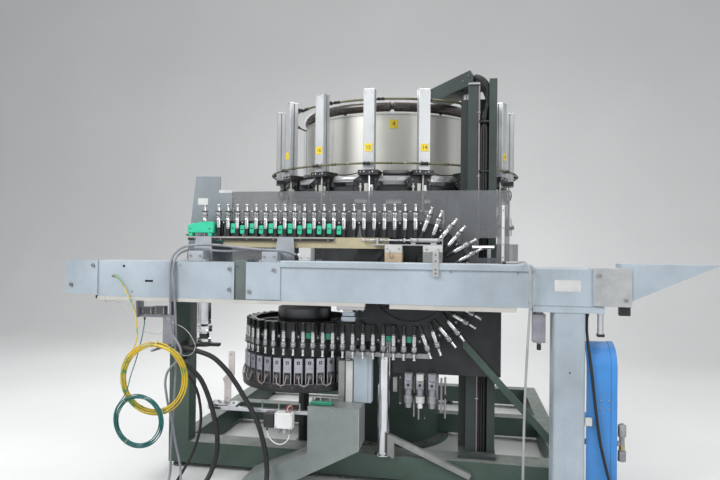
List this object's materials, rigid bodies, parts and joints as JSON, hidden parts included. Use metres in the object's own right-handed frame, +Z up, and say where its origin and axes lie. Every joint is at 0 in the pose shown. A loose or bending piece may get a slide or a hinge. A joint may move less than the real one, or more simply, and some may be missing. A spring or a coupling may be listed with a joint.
{
  "type": "rotary stretch blow moulding machine",
  "caption": "Rotary stretch blow moulding machine with guards off: stretch station wheel, turn-over chain of neck spindles, loading wheel, front beam, column, gantry and cables.",
  "frame": {"origin": "on the blow wheel's vertical axis, at floor level", "axes": "+X to the right along the front beam, +Y away from the front, +Z up"},
  "size_m": [4.378, 2.912, 3],
  "materials": {
    "beam_paint": "light blue-grey satin paint",
    "dark_green_paint": "dark green-grey satin paint",
    "inner_paint": "mid grey satin paint",
    "silver_steel": "brushed steel",
    "chrome_steel": "polished",
    "smoked_glass": "smoked clear sheet",
    "white_plastic": "matt white",
    "black_steel": "blackened steel",
    "beige_plastic": "matt beige",
    "green_plastic": "bright green",
    "spring_steel": "plain steel",
    "finger_steel": "satin steel",
    "wheel_paint": "grey-green satin paint",
    "mould_metal": "machined",
    "stainless": "brushed stainless",
    "pipe_brown": "dark brown satin",
    "white_extrusion": "pale anodised",
    "yellow_plastic": "matt yellow",
    "hose_olive": "olive black hose",
    "duct_sheet": "grey-green sheet",
    "blue_paint": "bright blue",
    "valve_body": "grey satin",
    "grey_conduit": "grey corrugated hose",
    "wire_yellow": "yellow and green wire",
    "wire_teal": "dark teal hose",
    "black_rubber": "black hose"
  },
  "bodies": {
    "frame": {"beam_left": "beam_paint", "beam_right": "beam_paint", "splice_post": "dark_green_paint", "bolted_plates": "beam_paint", "under_rails": "silver_steel", "head_box": "beam_paint", "right_column": "beam_paint", "inner_beam": "inner_paint", "base_frame": "dark_green_paint", "round_column": "chrome_steel", "gantry_post": "dark_green_paint", "gantry_arm": "dark_green_paint", "screen": "smoked_glass", "screen_strip": "white_plastic", "arm_plate": "inner_paint", "rail_brackets": "inner_paint", "guide_rail": "black_steel", "guide_bar": "beige_plastic", "chain_links": "black_steel", "ball_pins": "black_steel", "spindles": "chrome_steel", "green_clips": "green_plastic", "turn_bearing": "black_steel", "tensioner_body": "silver_steel", "tensioner_spring": "spring_steel", "infeed_bearing": "silver_steel", "pedestal": "dark_green_paint", "lower_duct": "duct_sheet", "wheel_supports": "silver_steel", "back_plate": "inner_paint", "side_guard": "blue_paint", "electrical_boxes": "white_plastic", "pneumatic_valves": "valve_body", "beam_bolts": "spring_steel", "conduit_a": "grey_conduit", "conduit_b": "grey_conduit", "earth_coil": "wire_yellow", "teal_coil": "wire_teal", "hose_black": "black_rubber", "hose_grey": "grey_conduit"},
    "blow_wheel": {"wheel_table": "wheel_paint", "slewing_ring": "black_steel", "station_frames": "wheel_paint", "mould_sets": "mould_metal", "base_ring": "silver_steel", "drum": "stainless", "air_manifold": "pipe_brown", "stretch_units": "white_extrusion", "foot_brackets": "black_steel", "number_plates": "yellow_plastic", "nozzles": "stainless", "hose_rings": "hose_olive"},
    "loading_wheel": {"loading_wheel": "black_steel", "gripper_fingers": "finger_steel"},
    "turn_wheel": {"turn_wheel": "black_steel"},
    "infeed_shaft": {"infeed_star": "black_steel"},
    "tension_rod": {"tensioner_rod": "chrome_steel"},
    "stretch_rod": {"stretch_rod": "chrome_steel"},
    "mould_left": {"mould_left": "mould_metal"},
    "mould_right": {"mould_right": "mould_metal"}
  },
  "joints": [
    {"name": "blow_wheel_turn", "type": "hinge", "parent": "frame", "child": "blow_wheel", "pos_m": [0, 0, 1.2], "axis": [0, 0, 1], "continuous": true},
    {"name": "loading_wheel_turn", "type": "hinge", "parent": "frame", "child": "loading_wheel", "pos_m": [-0.59, -0.87337, 1], "axis": [0, 0, 1], "continuous": true},
    {"name": "turn_wheel_turn", "type": "hinge", "parent": "frame", "child": "turn_wheel", "pos_m": [0.274, -1.2, 1.446], "axis": [0, 1, 0], "continuous": true},
    {"name": "infeed_turn", "type": "hinge", "parent": "frame", "child": "infeed_shaft", "pos_m": [-1.231, -1.31, 1.1], "axis": [0, 0, 1], "continuous": true},
    {"name": "tension_slide", "type": "slide", "parent": "frame", "child": "tension_rod", "axis": [1, 0, 0], "range_m": [0, 0.03], "deforming": ["tensioner_spring"]},
    {"name": "stretch_slide", "type": "slide", "parent": "blow_wheel", "child": "stretch_rod", "axis": [0, 0, -1], "range_m": [0, 0.32]},
    {"name": "mould_left_swing", "type": "hinge", "parent": "blow_wheel", "child": "mould_left", "pos_m": [-0.05531, -0.90431, 1.5], "axis": [0, 0, 1], "range_deg": [0, 25]},
    {"name": "mould_right_swing", "type": "hinge", "parent": "blow_wheel", "child": "mould_right", "pos_m": [-0.05531, -0.90431, 1.5], "axis": [0, 0, -1], "range_deg": [0, 25]}
  ],
  "couplings": [
    {"joint": "loading_wheel_turn", "follows": "blow_wheel_turn", "ratio": -0.44444},
    {"joint": "turn_wheel_turn", "follows": "blow_wheel_turn", "ratio": 0.44444},
    {"joint": "infeed_turn", "follows": "blow_wheel_turn", "ratio": 1.3333},
    {"joint": "mould_right_swing", "follows": "mould_left_swing", "ratio": 1}
  ]
}
